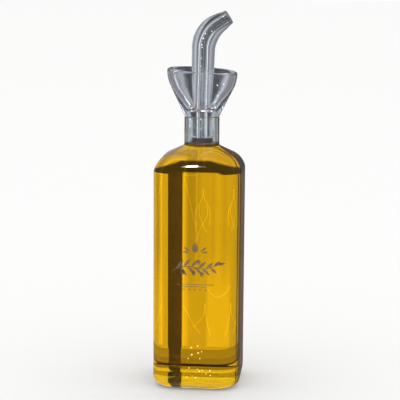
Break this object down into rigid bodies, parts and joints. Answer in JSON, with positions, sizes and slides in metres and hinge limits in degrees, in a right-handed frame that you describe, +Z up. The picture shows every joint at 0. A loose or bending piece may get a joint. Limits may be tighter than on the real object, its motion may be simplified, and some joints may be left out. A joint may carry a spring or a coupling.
{
  "type": "oil bottle",
  "caption": "Square clear glass bottle of golden cooking oil with a one-piece glass funnel pourer in its neck.",
  "frame": {"origin": "centre of the flat base that the bottle stands on", "axes": "+Z up the bottle, +X the way the spout points, -Y out of the printed front"},
  "size_m": [0.0648, 0.0648, 0.2775],
  "materials": {
    "bottle_glass": "clear, polished",
    "pourer_glass": "clear, polished",
    "oil": "clear golden liquid"
  },
  "bodies": {
    "root": {"bottle": "bottle_glass", "oil": "oil", "pourer": "pourer_glass"}
  },
  "joints": []
}
